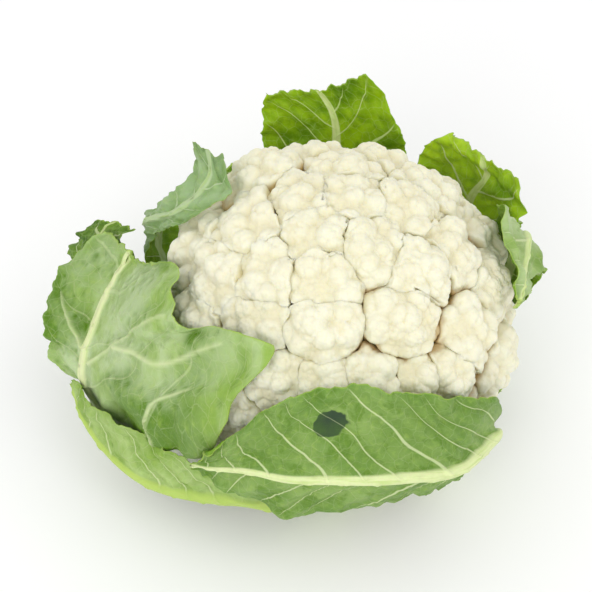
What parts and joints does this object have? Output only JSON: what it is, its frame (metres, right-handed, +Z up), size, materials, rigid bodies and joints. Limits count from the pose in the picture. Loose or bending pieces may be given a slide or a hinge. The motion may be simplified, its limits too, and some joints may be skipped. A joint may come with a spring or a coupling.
{
  "type": "cauliflower",
  "caption": "Head of cauliflower standing on its cut stalk: a creamy dome of florets in a ring of trimmed green leaves that wrap up round it.",
  "frame": {"origin": "middle of the stalk's flat cut face, which the head stands on", "axes": "+Z up along the stalk through the middle of the curd, -Y towards the front, where the largest leaf wraps round the curd, +X to the right seen from the front"},
  "size_m": [0.2416, 0.2092, 0.1673],
  "materials": {
    "curd": "matte creamy white, finely granular, warmer ochre down in the gaps",
    "leaf": "waxy green leaf with pale ribs and veins, greyer on its outer face",
    "stalk": "smooth pale green, with a moist cream cut face"
  },
  "bodies": {
    "root": {"back_leaf": "leaf", "back_low_leaf": "leaf", "far_left_leaf": "leaf", "floret_01": "curd", "floret_02": "curd", "floret_03": "curd", "floret_04": "curd", "floret_05": "curd", "floret_06": "curd", "floret_07": "curd", "floret_08": "curd", "floret_09": "curd", "floret_10": "curd", "floret_11": "curd", "floret_12": "curd", "floret_13": "curd", "floret_14": "curd", "floret_15": "curd", "floret_16": "curd", "floret_17": "curd", "floret_18": "curd", "floret_19": "curd", "floret_20": "curd", "floret_21": "curd", "floret_22": "curd", "floret_23": "curd", "floret_24": "curd", "floret_25": "curd", "floret_26": "curd", "floret_27": "curd", "floret_28": "curd", "floret_29": "curd", "floret_30": "curd", "floret_31": "curd", "floret_32": "curd", "floret_33": "curd", "floret_34": "curd", "floret_35": "curd", "floret_36": "curd", "floret_37": "curd", "floret_38": "curd", "floret_39": "curd", "floret_40": "curd", "floret_41": "curd", "floret_42": "curd", "floret_43": "curd", "floret_44": "curd", "floret_45": "curd", "floret_46": "curd", "floret_47": "curd", "front_leaf": "leaf", "left_leaf": "leaf", "left_low_leaf": "leaf", "right_leaf": "leaf", "right_low_leaf": "leaf", "shoulder_leaf": "leaf", "stalk": "stalk", "upper_right_leaf": "leaf"}
  },
  "joints": []
}
